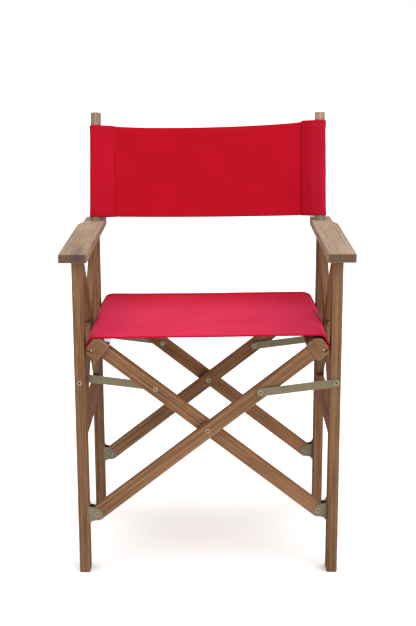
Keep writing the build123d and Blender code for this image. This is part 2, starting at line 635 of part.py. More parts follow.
for side_name, side in SIDES.items():
    for end in ENDS:
        save(f"{side_name}_{end}_leg", to_side(leg(end) - screw_pilots(end, side), side))
    save(f"{side_name}_armrest", to_side(armrest(), side))
    save(f"{side_name}_side_rail", to_side(side_rail(), side))
    save(f"{side_name}_brace_rising", to_side(brace(True), side))
    save(f"{side_name}_brace_falling", to_side(brace(False), side))
    save(f"{side_name}_brace_screw", to_side(brace_screw_seat() * screw(BRACE_SCREW_LENGTH), side))
    save(f"{side_name}_back_post", to_side(back_post(), side))
    save(f"{side_name}_back_sleeve", back_sleeve(side))
    save(f"{side_name}_seat_rod", seat_rod(side))
    screws = []
    pivots = []
    for end in ENDS:
        save(f"{side_name}_{end}_bracket", to_side(bracket(bracket_bar_front(end, side)), side))
        save(f"{side_name}_{end}_link", to_side(link(end, side), side))
        save(f"{side_name}_{end}_link_rivet_end", to_side(link_end_rivet(end, side), side))
        screws += [to_side(s, side) for s in bracket_screws(end, side)]
        pivots.append(to_side(bracket_rivet(end, side), side))
    save(f"{side_name}_bracket_screws", *screws)
    save(f"{side_name}_bracket_rivets", *pivots)
    save(f"{side_name}_link_leg_rivets", *[to_side(link_leg_rivet(end, side), side) for end in ENDS])
    save(f"{side_name}_link_bar_rivets", *[to_side(link_bar_rivet(end, side), side) for end in ENDS])
    save(f"{side_name}_link_washers", *[to_side(link_washer(end, side), side) for end in ENDS])
    save(f"{side_name}_seat_rail", seat_rail(side > 0))
    for end in ENDS:
        save(f"{side_name}_rail_{end}_bar", bar(end, side > 0))

save("cross_rivets", *[cross_rivet(end) for end in ENDS])
save("cross_washers", *[cross_washer(end) for end in ENDS])
save("seat_sling", seat_sling())
save("back_panel", back_panel())
save("care_label", care_label())
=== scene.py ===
import json
import math

import bpy
import numpy as np
from mathutils import Matrix, Vector


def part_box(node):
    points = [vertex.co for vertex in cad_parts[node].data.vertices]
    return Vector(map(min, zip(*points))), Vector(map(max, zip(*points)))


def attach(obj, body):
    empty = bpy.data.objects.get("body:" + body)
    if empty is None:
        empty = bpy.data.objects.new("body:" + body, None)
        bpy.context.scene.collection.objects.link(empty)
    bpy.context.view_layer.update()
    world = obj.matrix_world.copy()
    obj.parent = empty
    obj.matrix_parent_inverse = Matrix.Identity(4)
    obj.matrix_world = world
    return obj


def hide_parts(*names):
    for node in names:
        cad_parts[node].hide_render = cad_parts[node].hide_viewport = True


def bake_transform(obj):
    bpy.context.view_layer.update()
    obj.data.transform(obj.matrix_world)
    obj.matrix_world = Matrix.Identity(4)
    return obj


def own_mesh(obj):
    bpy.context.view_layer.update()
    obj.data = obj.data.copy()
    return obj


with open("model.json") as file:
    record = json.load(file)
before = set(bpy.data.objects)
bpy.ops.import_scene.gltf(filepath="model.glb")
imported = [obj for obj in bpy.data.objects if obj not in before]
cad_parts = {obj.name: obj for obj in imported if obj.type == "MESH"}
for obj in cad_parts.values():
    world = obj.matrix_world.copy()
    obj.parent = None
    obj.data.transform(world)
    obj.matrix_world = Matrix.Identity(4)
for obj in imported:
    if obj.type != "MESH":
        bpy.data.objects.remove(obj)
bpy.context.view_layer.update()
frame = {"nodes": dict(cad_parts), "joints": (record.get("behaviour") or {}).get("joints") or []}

# ---- dimensions, metres; places come from the frame ----
MM = 0.001
SIDES = {"left": -1, "right": 1}
ENDS = ("front", "rear")
POST_LEAN = math.radians(14.0)
UP_POST = Vector((0, math.sin(POST_LEAN), math.cos(POST_LEAN)))
AHEAD = Vector((0, -math.cos(POST_LEAN), math.sin(POST_LEAN)))  # square to the posts' plane
CLOTH = 1.1 * MM
HEM = 17.0 * MM  # width of the turned-under hems
HEM_STEP = 1.6 * MM  # over which the cloth gets thinner beside a hem
HEM_EXTRA = 0.85  # how much thicker a hem is, as a share of the cloth
HEM_STITCHING = HEM - 3 * MM  # from the cloth's edge to the hem's row of stitches
SEAT_HEM_EXTRA = 1.7  # the same for the seat's heavier hems
SEAT_FLANK = 16 * MM  # the seat cloth this far below its top lies beside the rails or in their grooves
SEAM_ALLOWANCE = 1.5 * MM  # how far a sleeve's two layers run on past the seam
SLEEVE_RISE = {"left": 0.5 * MM, "right": 2.0 * MM}  # of the sleeves' tops over the back's middle
SLEEVE_DROP = 0.5 * MM  # and of their bottoms below it
TUCK_LEFT = 4.0 * MM  # how far the back's middle runs on inside the sleeves
TUCK_RIGHT = 16.0 * MM  # longer, as the middle draws away from the right seam half way through the fold
THREAD_PITCH = 0.9 * MM
STITCH_LENGTH = 3.0 * MM
STITCH_PITCH = 4.2 * MM
STITCH_RADIUS = 0.32 * MM
ARC_STEP = math.radians(14)
HEM_GRID = 2.2 * MM  # mesh steps across the cloth, at its hems
CLOTH_GRID = 7.0 * MM  # and between them
RIGHT_SET_BACK = 1.3 * MM  # the back's right edge lies this far behind the posts' plane, as the right post
                           # leans back a little when the chair folds

joint_places = {j["name"]: Vector(j["pos_m"]) for j in frame["joints"] if "pos_m" in j}
cross_line = joint_places["cross_pivot"] - joint_places["fold"]
BAR_SLOPE = math.atan2(cross_line.z, cross_line.x)


# ---- colours ----
def rgb(red, green, blue):
    """A colour given as display values from 0 to 255, as the shader's linear values."""
    channels = []
    for value in (red, green, blue):
        share = value / 255
        channels.append(share / 12.92 if share <= 0.04045 else ((share + 0.055) / 1.055) ** 2.4)
    return tuple(channels)


def shade_of(colour, factor):
    """A lighter or darker colour."""
    return tuple(min(1.0, channel * factor) for channel in colour)


def opaque(colour):
    """The same colour with the fourth channel that node sockets want."""
    return (*colour, 1.0)


# ---- node helpers ----
class Nodes:
    """A material's node tree with short calls for the nodes used here."""

    def __init__(self, name):
        self.material = bpy.data.materials.new(name)
        self.material.use_nodes = True
        self.tree = self.material.node_tree
        self.tree.nodes.clear()
        self.output = self.tree.nodes.new("ShaderNodeOutputMaterial")

    def add(self, kind, inputs=None, **settings):
        node = self.tree.nodes.new("ShaderNode" + kind)
        for key, value in settings.items():
            setattr(node, key, value)
        for key, value in (inputs or {}).items():
            self.put(node.inputs[key], value)
        return node

    def put(self, socket, value):
        if isinstance(value, bpy.types.NodeSocket):
            self.tree.links.new(value, socket)
        else:
            socket.default_value = value

    def math(self, operation, a, b=0.0, c=0.0):
        return self.add("Math", {0: a, 1: b, 2: c}, operation=operation).outputs[0]

    def vector(self, operation, a, b=(0.0, 0.0, 0.0)):
        node = self.add("VectorMath", {0: a, 1: b}, operation=operation)
        return node.outputs["Value" if operation in ("DOT_PRODUCT", "LENGTH") else "Vector"]

    def noise(self, vector, scale, detail=3.0, roughness=0.5):
        values = {"Vector": vector, "Scale": scale, "Detail": detail, "Roughness": roughness}
        return self.add("TexNoise", values).outputs["Fac"]

    def streaks(self, vector, along, across, detail, roughness=0.5):
        """Noise drawn out along X: its cells to a metre along and across."""
        return self.noise(self.vector("MULTIPLY", vector, (along, across, across)), 1.0, detail, roughness)

    def along_x(self, place, direction):
        """Places turned so that a direction of the piece runs along X."""
        turn = Vector(direction).rotation_difference(Vector((1, 0, 0))).to_euler()
        return self.add("Mapping", {"Vector": place, "Rotation": turn}).outputs[0]

    def spread(self, value, low, high, to_low=0.0, to_high=1.0):
        """A value's stretch from low to high, brought to another stretch and kept inside it."""
        values = {"Value": value, "From Min": low, "From Max": high, "To Min": to_low, "To Max": to_high}
        return self.add("MapRange", values).outputs["Result"]

    def blend(self, share, a, b, mode="MIX"):
        node = self.add("Mix", data_type="RGBA", blend_type=mode)
        for socket, value in zip((node.inputs["Factor"], node.inputs[6], node.inputs[7]), (share, a, b)):
            self.put(socket, value)
        return node.outputs[2]

    def ramp(self, share, *stops):
        node = self.add("ValToRGB", {"Fac": share})
        elements = node.color_ramp.elements
        while len(elements) < len(stops):
            elements.new(0.5)
        for element, (place, colour) in zip(elements, stops):
            element.position = place
            element.color = opaque(colour)
        return node.outputs["Color"]

    def crevice_shade(self, distance, shut, clear, most):
        """Painted shade: how deep a place lies between neighbouring faces, from ambient occlusion, from 0 to
        most.
        """
        openness = self.add("AmbientOcclusion", {"Distance": distance}, samples=4).outputs["AO"]
        return self.spread(openness, shut, clear, most, 0.0)

    def edge_wear_and_highlight(self, radius, most):
        """How near a place is to a sharp edge, from 0 to most; used to paint edges paler, for wear and as a
        painted highlight.
        """
        rounded = self.add("Bevel", {"Radius": radius}, samples=4).outputs["Normal"]
        true = self.add("NewGeometry").outputs["Normal"]
        return self.spread(self.vector("DOT_PRODUCT", rounded, true), 0.86, 0.995, most, 0.0)

    def bump(self, height, distance, strength=1.0, below=None):
        values = {"Height": height, "Distance": distance, "Strength": strength}
        if below is not None:
            values["Normal"] = below
        return self.add("Bump", values).outputs["Normal"]

    def shader(self, **values):
        """Principled shader; names are its sockets' with underscores for spaces."""
        sockets = {key.replace("_", " "): value for key, value in values.items()}
        node = self.add("BsdfPrincipled", sockets)
        self.tree.links.new(node.outputs["BSDF"], self.output.inputs["Surface"])
        return self.material


# ---- wood ----
SIDE_SHADE_AND_TONE_TINT = rgb(238, 130, 88)
PORE_BROWN = rgb(60, 40, 26)
CUT_END_TINT = rgb(255, 232, 216)
KNOT_GREY = rgb(62, 56, 56)
SEED_SHIFT = (0.731, 0.377, 0.219)  # metres of pattern from one seed to the next


def wood_grain(n, placed, dark, light):
    """Rings that wander slowly, streaks, fibres and pores; gives the colour, the relief and the roughness."""
    wander = n.streaks(placed, 1.1, 14.0, 2.0)
    across = n.vector("DOT_PRODUCT", placed, (0.0, 0.82, 0.57))
    rings = n.math("ADD", n.math("MULTIPLY", across, 560.0), n.math("MULTIPLY", wander, 12.0))
    band = n.spread(n.math("SINE", n.math("MULTIPLY", rings, 2.2)), -1.0, 1.0)
    fibre = n.streaks(placed, 9.0, 520.0, 4.0, 0.65)
    streak = n.streaks(placed, 3.0, 330.0, 3.0, 0.6)
    patch = n.streaks(placed, 4.0, 10.0, 2.0)
    pores = n.spread(n.streaks(placed, 55.0, 1300.0, 1.0), 0.58, 0.70)
    mixed = n.math("MULTIPLY_ADD", band, 0.08, n.math("MULTIPLY", streak, 0.45))
    mixed = n.math("MULTIPLY_ADD", fibre, 0.75, mixed)
    mixed = n.math("MULTIPLY_ADD", patch, 0.45, mixed)
    middle = tuple((a + b) / 2 for a, b in zip(dark, light))
    colour = n.ramp(n.spread(mixed, 0.61, 1.15), (0.0, dark), (0.5, middle), (1.0, light))
    relief = n.math("MULTIPLY_ADD", pores, -0.7, n.math("MULTIPLY_ADD", streak, 0.5, fibre))
    rough = n.math("MULTIPLY_ADD", fibre, 0.18, n.math("MULTIPLY_ADD", patch, 0.12, 0.5))
    return colour, pores, relief, rough


def wood(name, grain, seed, dark, light, end_grain, side_shade=0.38, stain=None):
    """Oiled hardwood with its grain along one direction, with painted shade: the faces that look left and
    right are painted redder and darker.

    Seed shifts the pattern from board to board, and stain is the place of a grey knot.
    """
    n = Nodes(name)
    coordinates = n.add("TexCoord")
    place = coordinates.outputs["Object"]
    facing = coordinates.outputs["Normal"]
    placed = n.vector("ADD", n.along_x(place, grain), tuple(seed * shift for shift in SEED_SHIFT))
    colour, pores, relief, rough = wood_grain(n, placed, dark, light)
    apart = n.add("SeparateXYZ", {0: n.vector("ABSOLUTE", facing)})
    # painted shade: faces that look left and right are painted redder and darker; the uneven streaks in the
    # same tint are the wood's own tone
    sideways = n.spread(apart.outputs["X"], 0.35, 0.9, 0.0, side_shade)
    uneven = n.spread(n.streaks(placed, 1.6, 12.0, 1.0), 0.42, 0.68, 0.0, 0.12)
    colour = n.blend(n.math("MAXIMUM", sideways, uneven), colour, opaque(SIDE_SHADE_AND_TONE_TINT), "MULTIPLY")
    colour = n.blend(n.math("MULTIPLY", pores, 0.40), colour, opaque(PORE_BROWN))
    # cut ends drink the oil and turn darker
    lengthwise = n.math("ABSOLUTE", n.vector("DOT_PRODUCT", facing, tuple(grain)))
    cut = n.spread(lengthwise, 0.72, 0.95, 0.0, end_grain)
    rays = n.noise(place, 900.0)
    end_colour = n.blend(rays, opaque(shade_of(dark, 0.45)), opaque(shade_of(light, 0.36)))
    end_colour = n.blend(1.0, end_colour, opaque(CUT_END_TINT), "MULTIPLY")
    colour = n.blend(cut, colour, end_colour)
    if stain:
        away = n.vector("LENGTH", n.vector("MULTIPLY", n.vector("SUBTRACT", place, stain), (1.0, 0.16, 1.0)))
        ragged = n.math("MULTIPLY_ADD", n.noise(place, 160.0), 0.010, away)
        colour = n.blend(n.spread(ragged, 0.006, 0.023, 0.85, 0.0), colour, opaque(KNOT_GREY))
    # painted shade darkens the wood where two parts meet, and corners are painted paler, for wear and as a
    # painted highlight
    colour = n.blend(n.crevice_shade(0.012, 0.30, 0.80, 0.55), colour, opaque(shade_of(dark, 0.35)))
    colour = n.blend(n.edge_wear_and_highlight(0.0014, 0.30), colour, opaque(shade_of(light, 1.45)))
    return n.shader(Base_Color=colour, Roughness=rough, Normal=n.bump(relief, 0.00025, 0.8),
                    Specular_IOR_Level=0.01)


# ---- metal ----
ZINC_TONES = [rgb(108, 102, 80), rgb(124, 116, 93), rgb(124, 110, 89), rgb(112, 109, 92)]
ZINC_TONE_PLACES = (0.0, 0.4, 0.75, 1.0)
ZINC_SPOT = rgb(78, 72, 56)
ZINC_CORNER_SHADE = rgb(34, 32, 24)
ZINC_BARE = rgb(214, 206, 178)


def zinc(name, direction, seed, light, rough=0.34):
    """Yellow-passivated steel: rolled streaks, faint rainbow patches, dull spots and painted shade in the
    corners.
    """
    n = Nodes(name)
    place = n.vector("ADD", n.add("TexCoord").outputs["Object"], (seed, 0.0, 0.0))
    brushed = n.streaks(n.along_x(place, direction), 40.0, 2600.0, 2.0)
    cloud = n.noise(place, 55.0)
    spots = n.spread(n.noise(place, 700.0, 2.0), 0.60, 0.74)
    stops = [(share, shade_of(tone, light)) for share, tone in zip(ZINC_TONE_PLACES, ZINC_TONES)]
    colour = n.ramp(n.spread(cloud, 0.30, 0.70), *stops)
    colour = n.blend(n.math("MULTIPLY", brushed, 0.35), colour, opaque(shade_of(ZINC_TONES[0], 0.7 * light)))
    colour = n.blend(n.math("MULTIPLY", spots, 0.4), colour, opaque(ZINC_SPOT))
    # painted shade: darker where faces meet, from ambient occlusion
    colour = n.blend(n.crevice_shade(0.006, 0.30, 0.85, 0.75), colour, opaque(ZINC_CORNER_SHADE))
    colour = n.blend(n.edge_wear_and_highlight(0.0007, 0.5), colour, opaque(ZINC_BARE))
    dull = n.math("MULTIPLY_ADD", brushed, 0.14, n.math("MULTIPLY_ADD", spots, 0.2, rough))
    return n.shader(Base_Color=colour, Metallic=0.85, Roughness=dull, Normal=n.bump(brushed, 0.00005, 0.6))


# ---- cloth ----
def weave(n, flat, pitch):
    """Height of over-and-under threads, from the cloth's flat coordinates."""
    apart = n.add("SeparateXYZ", {0: n.vector("MULTIPLY", flat, (1 / pitch, 1 / pitch, 0.0))})
    threads = []
    for axis in ("X", "Y"):
        across = n.math("FRACT", apart.outputs[axis])
        threads.append(n.math("SINE", n.math("MULTIPLY", across, math.pi)))
    count = n.math("ADD", n.math("FLOOR", apart.outputs["X"]), n.math("FLOOR", apart.outputs["Y"]))
    over = n.math("PINGPONG", count, 1.0)
    return n.add("Mix", {"Factor": over, "A": threads[0], "B": threads[1]}, data_type="FLOAT").outputs[0]


def canvas(name, deep, bright, sheen, sheen_tint, pitch=THREAD_PITCH, relief=0.00012, painted_shade=()):
    """Plain-woven cloth with slubs and wear, in the cloth's own flat coordinates.

    Each painted_shade entry is a direction on the cloth, a stretch along it over which painted shade deepens
    the colour, and the final tint.
    """
    n = Nodes(name)
    flat = n.add("UVMap", uv_map="cloth").outputs["UV"]
    crown = weave(n, flat, pitch)
    weft = n.noise(n.vector("MULTIPLY", flat, (9.0, 700.0, 0.0)), 1.0)
    warp = n.noise(n.vector("MULTIPLY", flat, (700.0, 9.0, 0.0)), 1.0)
    slub = n.math("MULTIPLY_ADD", weft, 0.6, n.math("MULTIPLY", warp, 0.4))
    wear = n.noise(n.vector("MULTIPLY", flat, (10.0, 13.0, 0.0)), 1.0)
    shade = n.math("MULTIPLY_ADD", slub, 0.62, n.math("MULTIPLY", wear, 0.42))
    shade = n.math("MULTIPLY_ADD", crown, 0.32, shade)
    colour = n.ramp(n.spread(shade, 0.45, 1.0), (0.0, deep), (1.0, bright))
    # painted shade deepens the colour over each given stretch
    for axis, begin, end, tint in painted_shade:
        along = n.add("SeparateXYZ", {0: flat}).outputs[axis]
        colour = n.blend(n.spread(along, begin, end), colour, opaque(tint), "MULTIPLY")
    # painted shade: darker where the cloth meets other parts, from ambient occlusion
    colour = n.blend(n.crevice_shade(0.006, 0.35, 0.8, 0.15), colour, opaque(shade_of(deep, 0.4)))
    soft = n.bump(wear, 0.0006, 0.5)
    normal = n.bump(n.math("MULTIPLY_ADD", slub, 0.35, crown), relief, 0.7, soft)
    rough = n.math("MULTIPLY_ADD", slub, 0.12, 0.72)
    return n.shader(Base_Color=colour, Roughness=rough, Normal=normal, Specular_IOR_Level=0.02,
                    Sheen_Weight=sheen, Sheen_Roughness=0.42, Sheen_Tint=opaque(sheen_tint))


def thread(name, deep, bright):
    """Twisted sewing thread."""
    n = Nodes(name)
    place = n.add("TexCoord").outputs["Object"]
    twist = n.math("SINE", n.math("MULTIPLY", n.vector("DOT_PRODUCT", place, (0.6, 0.6, 0.6)), 9000.0))
    fuzz = n.noise(place, 2500.0, 2.0)
    colour = n.ramp(n.math("MULTIPLY_ADD", twist, 0.2, fuzz), (0.2, deep), (0.8, bright))
    return n.shader(Base_Color=colour, Roughness=n.math("MULTIPLY_ADD", fuzz, 0.2, 0.5),
                    Normal=n.bump(twist, 0.00006), Specular_IOR_Level=0.1, Sheen_Weight=0.05,
                    Sheen_Roughness=0.4)


def extruded_plastic(name):
    """Pale rod with faint drawing lines."""
    n = Nodes(name)
    place = n.add("TexCoord").outputs["Object"]
    lines = n.noise(n.vector("MULTIPLY", place, (900.0, 12.0, 900.0)), 1.0, 2.0)
    cloud = n.noise(place, 90.0, 2.0)
    colour = n.ramp(n.math("MULTIPLY_ADD", lines, 0.5, n.math("MULTIPLY", cloud, 0.5)),
                    (0.2, rgb(170, 148, 112)), (0.8, rgb(214, 196, 160)))
    return n.shader(Base_Color=colour, Roughness=n.math("MULTIPLY_ADD", lines, 0.2, 0.4),
                    Normal=n.bump(lines, 0.0001, 0.5))


# ---- mesh helpers ----
def rounded_path(corners, radii, step):
    """Points along straight runs joined by tangent arcs; radii belong to the inner corners."""
    corners = [np.array(c, float) for c in corners]
    arcs = []
    for before, corner, after, radius in zip(corners, corners[1:], corners[2:], radii):
        into = (corner - before) / np.linalg.norm(corner - before)
        out = (after - corner) / np.linalg.norm(after - corner)
        turn = math.acos(np.clip(into @ out, -1, 1))
        reach = radius * math.tan(turn / 2)
        side = 1.0 if into[0] * out[1] - into[1] * out[0] > 0 else -1.0
        normal = side * np.array((-into[1], into[0]))
        centre = corner - into * reach + normal * radius
        count = max(2, math.ceil(turn / ARC_STEP))
        angles = [turn * k / count for k in range(count + 1)]
        arcs.append([centre - normal * radius * math.cos(a) + into * radius * math.sin(a) for a in angles])
    points = []
    start = corners[0]
    for arc in arcs + [[corners[-1]]]:
        gap = np.linalg.norm(arc[0] - start)
        count = max(1, math.ceil(gap / step))
        points += [start + (arc[0] - start) * k / count for k in range(count)]
        points += arc[:-1]
        start = arc[-1]
    points.append(start)
    return np.array(points)


def normals_of(line):
    """Unit normals on the left-hand side of a flat line's direction."""
    way = np.gradient(line, axis=0)
    way /= np.linalg.norm(way, axis=1)[:, None]
    return np.stack([-way[:, 1], way[:, 0]], axis=1)


def run_lengths(line):
    """How far along the line each of its points is."""
    return np.concatenate([[0.0], np.cumsum(np.linalg.norm(np.diff(line, axis=0), axis=1))])


def smooth(value, low, high):
    """Rises softly from 0 at low to 1 at high."""
    share = np.clip((value - low) / (high - low), 0.0, 1.0)
    return share * share * (3 - 2 * share)


def mesh_piece(name, vertices, faces, material, uvs=None):
    """A smooth-shaded object; uvs are the vertices' places on the flat cloth."""
    mesh = bpy.data.meshes.new(name)
    mesh.from_pydata([tuple(v) for v in vertices], [], faces)
    mesh.validate()
    if uvs is not None:
        layer = mesh.uv_layers.new(name="cloth")
        for loop in mesh.loops:
            layer.data[loop.index].uv = uvs[loop.vertex_index]
    for polygon in mesh.polygons:
        polygon.use_smooth = True
    mesh.materials.append(material)
    piece = bpy.data.objects.new(name, mesh)
    bpy.context.scene.collection.objects.link(piece)
    return piece


def cloth_sheet(name, surface, flat, material, thickness):
    """A closed thin sheet with rounded long edges.

    The surface is a grid of points with a grid of unit normals, flat their places on the flat cloth, and the
    thickness a grid of metres.
    """
    points, normals = surface
    rows, columns = points.shape[:2]
    half = thickness[..., None] / 2
    upper = points + normals * half
    lower = points - normals * half
    edge_out = []
    for column, neighbour in ((0, 1), (columns - 1, columns - 2)):
        away = points[:, column] - points[:, neighbour]
        away /= np.linalg.norm(away, axis=1)[:, None]
        edge_out.append(points[:, column] + away * half[:, column] * 0.9)
    ring = [upper[:, k] for k in range(columns)] + [edge_out[1]]
    ring += [lower[:, k] for k in reversed(range(columns))] + [edge_out[0]]
    ring = np.stack(ring, axis=1)
    around = ring.shape[1]
    flat_ring = [flat[:, k] for k in range(columns)] + [flat[:, -1]]
    flat_ring += [flat[:, k] for k in reversed(range(columns))] + [flat[:, 0]]
    flat_ring = np.stack(flat_ring, axis=1)
    # the strips along the sheet, then its two ends
    faces = []
    for row in range(rows - 1):
        here = row * around
        there = here + around
        for k in range(around):
            after = (k + 1) % around
            faces.append((here + k, here + after, there + after, there + k))
    last = (rows - 1) * around
    for k in range(columns - 1):
        opposite = 2 * columns - k
        faces.append((k + 1, k, opposite, opposite - 1))
        faces.append((last + k, last + k + 1, last + opposite - 1, last + opposite))
    for first, second, tip in ((0, 2 * columns, around - 1), (columns + 1, columns - 1, columns)):
        faces.append((first, second, tip))
        faces.append((last + second, last + first, last + tip))
    return mesh_piece(name, ring.reshape(-1, 3), faces, material, flat_ring.reshape(-1, 2))


def stitch_row(name, line, normals, material):
    """A row of sewing stitches along a line of points, each a small pointed bead half sunk in the cloth."""
    along = run_lengths(line)
    vertices, faces = [], []
    sides = 6
    # each ring of a stitch: its share of the length, its share of the radius, and its rise in radii
    rings = ((0.0, 0.35, -0.25), (0.2, 0.95, 0.15), (0.8, 0.95, 0.15), (1.0, 0.35, -0.25))
    for middle in np.arange(STITCH_PITCH, along[-1] - STITCH_PITCH, STITCH_PITCH):
        ends = []
        for offset in (-STITCH_LENGTH / 2, STITCH_LENGTH / 2):
            ends.append(np.array([np.interp(middle + offset, along, line[:, k]) for k in range(3)]))
        normal = np.array([np.interp(middle, along, normals[:, k]) for k in range(3)])
        normal /= np.linalg.norm(normal)
        way = (ends[1] - ends[0]) / np.linalg.norm(ends[1] - ends[0])
        side = np.cross(way, normal)
        base = len(vertices)
        for share, wide, rise in rings:
            centre = ends[0] + (ends[1] - ends[0]) * share + normal * STITCH_RADIUS * rise
            for k in range(sides):
                angle = 2 * math.pi * k / sides
                round_about = side * math.cos(angle) + normal * math.sin(angle) * 0.8
                vertices.append(centre + round_about * STITCH_RADIUS * wide)
        for ring in range(len(rings) - 1):
            for k in range(sides):
                after = (k + 1) % sides
                low = base + ring * sides
                faces.append((low + k, low + after, low + sides + after, low + sides + k))
        faces.append(tuple(base + k for k in reversed(range(sides))))
        faces.append(tuple(base + (len(rings) - 1) * sides + k for k in range(sides)))
    return mesh_piece(name, vertices, faces, material)


def stitches_on(name, surface, thickness, place, material):
    """Stitches on a sheet's upper side, along the run of points that place picks out of its grid."""
    points, normals = surface
    line = points[place] + normals[place] * thickness[place][..., None] / 2
    return stitch_row(name, line, normals[place], material)


def nearest(values, wanted):
    """Index of the value that is nearest to the wanted one."""
    return int(np.argmin(np.abs(values - wanted)))


def along_sheet(values, columns):
    """One value for each point of a line, repeated across the sheet."""
    return np.repeat(values[:, None], columns, axis=1)


def evenly(low, high, step):
    """Places from low to high at most a step apart."""
    return np.linspace(low, high, max(2, math.ceil((high - low) / step) + 1))


def across_positions(low, high):
    """Places across a hemmed sheet, closer together at the hems."""
    near = evenly(low, low + HEM, HEM_GRID)
    middle = evenly(low + HEM, high - HEM, CLOTH_GRID)
    far = evenly(high - HEM, high, HEM_GRID)
    return np.concatenate([near, middle[1:], far[1:]])


def hem_layers(positions, extra=HEM_EXTRA):
    """Cloth thickness across a sheet: more at the turned-under hems, with a short step."""
    low, high = positions[0], positions[-1]
    near = 1 - smooth(positions, low + HEM - HEM_STEP, low + HEM)
    far = smooth(positions, high - HEM, high - HEM + HEM_STEP)
    return CLOTH * (1 + extra * np.maximum(near, far))


# ---- camera, floor and light ----
def place_camera():
    """The reference view: from just above the arms' height, nearly square to the front."""
    ahead_of_legs = 2.2867
    height = 1.0893
    off_middle = 0.0103
    tilt = math.radians(90 - 13.504)
    heading = math.radians(0.233)
    roll = math.radians(-0.179)
    data = bpy.data.cameras.new("camera")
    data.sensor_width = 36.0
    data.lens = 70.31
    camera = bpy.data.objects.new("camera", data)
    bpy.context.scene.collection.objects.link(camera)
    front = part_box("left_front_leg")[0].y
    turn = Matrix.Rotation(heading, 4, "Z") @ Matrix.Rotation(tilt, 4, "X") @ Matrix.Rotation(roll, 4, "Z")
    camera.matrix_world = Matrix.Translation((off_middle, front - ahead_of_legs, height)) @ turn
    bpy.context.scene.camera = camera


def soft_sun(name, place, power, spread, colour=(1.0, 1.0, 1.0)):
    """Light that comes from a wide patch of sky, seen from the origin in the direction of place."""
    data = bpy.data.lights.new(name, "SUN")
    data.energy = power
    data.angle = math.radians(spread)
    data.color = colour
    lamp = bpy.data.objects.new(name, data)
    bpy.context.scene.collection.objects.link(lamp)
    lamp.location = place
    lamp.rotation_euler = Vector(place).to_track_quat("Z", "Y").to_euler()


def studio():
    """A pale floor without an end in sight, under a white sky."""
    scene = bpy.context.scene
    scene.view_settings.view_transform = "Standard"
    world = bpy.data.worlds.new("studio")
    world.use_nodes = True
    background = world.node_tree.nodes["Background"]
    background.inputs["Color"].default_value = (1.0, 1.0, 1.0, 1.0)
    background.inputs["Strength"].default_value = 1.0
    scene.world = world
    soft_sun("overhead", (0.3, -0.4, 2.4), 3.3, 90, (1.0, 0.99, 0.97))
    soft_sun("front_fill", (1.9, -1.9, 1.3), 0.8, 50)
    n = Nodes("floor_pale")
    tone = n.noise(n.add("TexCoord").outputs["Object"], 1.3, 2.0)
    colour = n.ramp(tone, (0.3, (0.77, 0.77, 0.77)), (0.7, (0.80, 0.80, 0.80)))
    material = n.shader(Base_Color=colour, Roughness=0.95, Specular_IOR_Level=0.05)
    half = 300.0
    corners = [(-half, -half, 0), (half, -half, 0), (half, half, 0), (-half, half, 0)]
    floor = mesh_piece("floor", corners, [(0, 1, 2, 3)], material)


# ---- finishes on the carried-over parts ----
BROWN_DARK = rgb(66, 46, 31)
BROWN_LIGHT = rgb(148, 112, 82)
PALE_DARK = rgb(92, 78, 65)
PALE_LIGHT = rgb(158, 139, 121)


UPRIGHT = (0, 0, 1)
BACKWARD = (0, 1, 0)
TURNED_PARTS = ("bracket_screws", "bracket_rivets", "link_leg_rivets", "link_bar_rivets", "link_washers")


def finish_node(name, material):
    """Gives a part that is carried over from the CAD its material."""
    for place in frame["nodes"][name].material_slots:
        place.material = material


def brace_way(side, rising):
    """Direction of a brace; rising is 1 for the one that rises to the rear and -1 for the other."""
    low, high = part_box(f"{side}_brace_rising")
    return Vector((0, high.y - low.y, (high.z - low.z) * rising)).normalized()


def finish_wood():
    for number, (side, sign) in enumerate(SIDES.items()):
        bar_way = Vector((sign * math.cos(BAR_SLOPE), 0, math.sin(BAR_SLOPE)))
        # each board's grain and lightness
        boards = [
            ("front_leg", UPRIGHT, 0.90 - 0.12 * number),
            ("rear_leg", UPRIGHT, 0.88),
            ("side_rail", BACKWARD, 0.9),
            ("brace_rising", brace_way(side, 1), 0.95),
            ("brace_falling", brace_way(side, -1), 0.88),
            ("rail_front_bar", bar_way, 1.08),
            ("rail_rear_bar", bar_way, 1.08),
            ("seat_rail", BACKWARD, 1.1),
        ]
        for k, (part, way, lightness) in enumerate(boards):
            seed = 3.0 + 2.0 * k + 29.0 * number
            material = wood(f"{side}_{part}_wood", way, seed, shade_of(BROWN_DARK, lightness),
                            shade_of(BROWN_LIGHT, lightness), end_grain=0.2 if part == "seat_rail" else 0.55)
            finish_node(f"{side}_{part}", material)
        # only the left arm has a knot, in its front end
        low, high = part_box(f"{side}_armrest")
        stain = None
        if side == "left":
            stain = (low.x + 0.66 * (high.x - low.x), low.y, high.z - 7 * MM)
        material = wood(f"{side}_arm_wood", BACKWARD, 47.0 + number, PALE_DARK, PALE_LIGHT, end_grain=0.9,
                        side_shade=0.3, stain=stain)
        finish_node(f"{side}_armrest", material)
        material = wood(f"{side}_post_wood", UP_POST, 61.0 + number, shade_of(PALE_DARK, 0.8 + 0.2 * number),
                        shade_of(PALE_LIGHT, 0.88 + 0.16 * number), end_grain=0.4, side_shade=0.1)
        finish_node(f"{side}_back_post", material)


